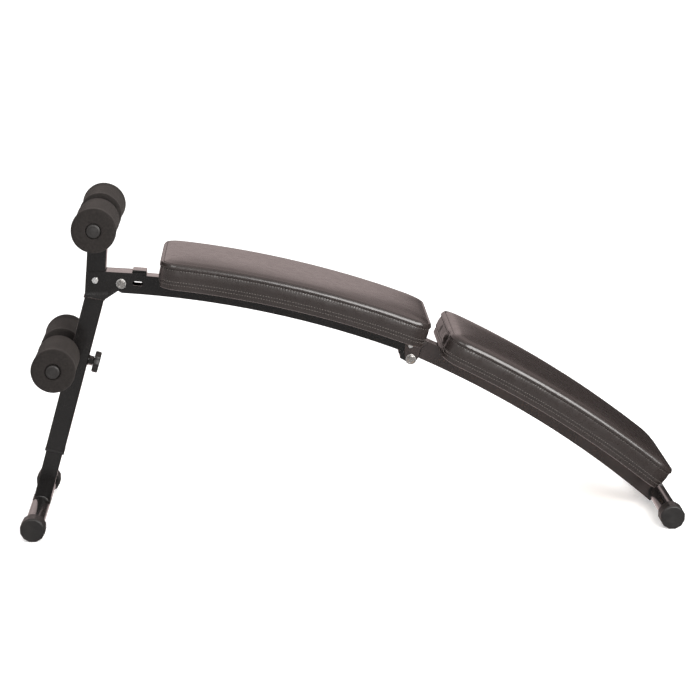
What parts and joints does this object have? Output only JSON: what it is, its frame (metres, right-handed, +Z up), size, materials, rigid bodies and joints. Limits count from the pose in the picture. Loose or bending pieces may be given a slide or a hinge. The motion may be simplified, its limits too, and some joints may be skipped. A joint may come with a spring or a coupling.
{
  "type": "decline sit-up bench",
  "caption": "Folding decline sit-up bench: curved two-part padded board on a steel rail, foam ankle rollers, telescoping clamped front leg and round cross feet.",
  "frame": {"origin": "middle of the bench's footprint, on the floor it stands on", "axes": "+X along the bench from the high ankle-roller end to the low end, +Y across the bench to the left of a person lying on it with the feet at the rollers, +Z up"},
  "size_m": [1.38, 0.368, 0.6903],
  "materials": {
    "steel_paint": "gloss",
    "zinc": "satin",
    "black_plastic": "satin",
    "foam": "matte",
    "leatherette": "satin",
    "plywood": "matte"
  },
  "bodies": {
    "front_frame": {"front_rail": "steel_paint", "rail_stop_block": "steel_paint", "mid_knuckle": "steel_paint", "mid_pivot_bolt": "zinc", "mid_washer_near": "zinc", "mid_washer_far": "zinc", "mid_pivot_nut": "zinc", "front_pad_board": "plywood", "front_pad": "leatherette", "front_pad_screw_1": "zinc", "front_pad_screw_2": "zinc", "front_pad_nut_1": "zinc", "front_pad_nut_2": "zinc"},
    "stand": {"leg_tube": "steel_paint", "leg_collar": "black_plastic", "lower_axle_saddle": "steel_paint", "lower_axle": "steel_paint", "lower_plug_left": "black_plastic", "lower_plug_right": "black_plastic", "post_tube": "steel_paint", "post_plug": "black_plastic", "upper_axle": "steel_paint", "upper_plug_left": "black_plastic", "upper_plug_right": "black_plastic", "head_bracket": "steel_paint", "post_bolt": "zinc", "post_nut": "zinc", "fold_bolt": "zinc", "fold_washer_near": "zinc", "fold_washer_far": "zinc", "fold_nut": "zinc", "knob_nut": "steel_paint"},
    "leg_slider": {"leg_extension": "steel_paint", "front_crossbar": "steel_paint", "front_foot_cap_left": "black_plastic", "front_foot_cap_right": "black_plastic"},
    "clamp": {"clamp_screw": "zinc"},
    "knob": {"star_knob": "black_plastic"},
    "upper_left_roller": {"upper_roller_left": "foam"},
    "upper_right_roller": {"upper_roller_right": "foam"},
    "lower_left_roller": {"lower_roller_left": "foam"},
    "lower_right_roller": {"lower_roller_right": "foam"},
    "rear_frame": {"rear_rail": "steel_paint", "hinge_cheek_left": "steel_paint", "hinge_cheek_right": "steel_paint", "mid_stop_pin": "zinc", "rear_crossbar": "steel_paint", "rear_foot_cap_left": "black_plastic", "rear_foot_cap_right": "black_plastic", "rear_pad_board": "plywood", "rear_pad": "leatherette", "rear_pad_screw_1": "zinc", "rear_pad_screw_2": "zinc", "rear_pad_nut_1": "zinc", "rear_pad_nut_2": "zinc"}
  },
  "joints": [
    {"name": "stand_fold", "type": "hinge", "parent": "front_frame", "child": "stand", "pos_m": [-0.4765, 0, 0.508], "axis": [0, -1, 0], "range_deg": [0, 85]},
    {"name": "rear_fold", "type": "hinge", "parent": "front_frame", "child": "rear_frame", "pos_m": [0.1275, 0, 0.335], "axis": [0, 1, 0], "range_deg": [0, 105]},
    {"name": "leg_slide", "type": "slide", "parent": "stand", "child": "leg_slider", "axis": [-0.279, 0, -0.9603], "range_m": [-0.06, 0.05]},
    {"name": "clamp_travel", "type": "slide", "parent": "stand", "child": "clamp", "axis": [0.9603, 0, -0.279], "range_m": [0, 0.003]},
    {"name": "knob_turn", "type": "hinge", "parent": "clamp", "child": "knob", "pos_m": [-0.53607, 0, 0.33496], "axis": [0.9603, 0, -0.279], "range_deg": [0, 540]},
    {"name": "upper_left_spin", "type": "hinge", "parent": "stand", "child": "upper_left_roller", "pos_m": [-0.51866, 0.0935, 0.645], "axis": [0, 1, 0], "continuous": true},
    {"name": "upper_right_spin", "type": "hinge", "parent": "stand", "child": "upper_right_roller", "pos_m": [-0.51866, -0.0935, 0.645], "axis": [0, 1, 0], "continuous": true},
    {"name": "lower_left_spin", "type": "hinge", "parent": "stand", "child": "lower_left_roller", "pos_m": [-0.61097, 0.0935, 0.35672], "axis": [0, 1, 0], "continuous": true},
    {"name": "lower_right_spin", "type": "hinge", "parent": "stand", "child": "lower_right_roller", "pos_m": [-0.61097, -0.0935, 0.35672], "axis": [0, 1, 0], "continuous": true}
  ],
  "couplings": [
    {"joint": "clamp_travel", "follows": "knob_turn", "m_per_rad": 0.0003183}
  ]
}
